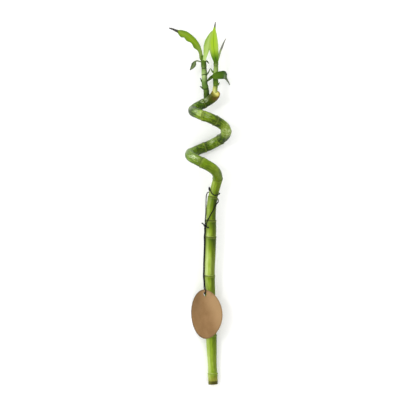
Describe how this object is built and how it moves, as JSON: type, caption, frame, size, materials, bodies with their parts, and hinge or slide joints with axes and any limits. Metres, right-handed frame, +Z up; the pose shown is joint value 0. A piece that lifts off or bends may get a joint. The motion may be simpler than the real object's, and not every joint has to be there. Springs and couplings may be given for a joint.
{
  "type": "lucky bamboo stalk",
  "caption": "Cut spiral lucky bamboo cane lying down, with two leafy shoots at its crown and an oval paper tag on a string.",
  "frame": {"origin": "middle of the underside of the part's box, on the surface that the stalk lies on", "axes": "+X across the stalk to the right as it is seen from above, +Y along it from the cut foot to the leaf tips, +Z up from the surface"},
  "size_m": [0.0698, 0.4034, 0.055],
  "materials": {
    "cane_green": "glossy waxy green skin, paler above each node ring, browner on the coils' undersides",
    "shoot_green": "satin green leaf sheaths",
    "shoot_pale": "satin pale yellow-green leaf sheaths",
    "leaf_mid": "satin mid-green leaf with a dark dry tip",
    "leaf_dark": "satin dark green leaf",
    "leaf_pale": "satin pale green young leaf",
    "leaf_young": "satin yellow-green young leaf with a dark dry tip",
    "kraft_paper": "matt brown kraft card",
    "black_string": "matt black twisted cotton"
  },
  "bodies": {
    "root": {"cane": "cane_green", "left_shoot_stem": "shoot_green", "right_shoot_stem": "shoot_pale", "left_leaf_arching": "leaf_mid", "left_leaf_bent": "leaf_dark", "left_leaf_upright": "leaf_pale", "right_leaf_broad": "leaf_young", "right_leaf_narrow": "leaf_dark", "right_leaf_folded": "leaf_dark", "right_leaf_low": "leaf_dark", "tag": "kraft_paper", "string_tie": "black_string", "string_loop": "black_string"}
  },
  "joints": []
}
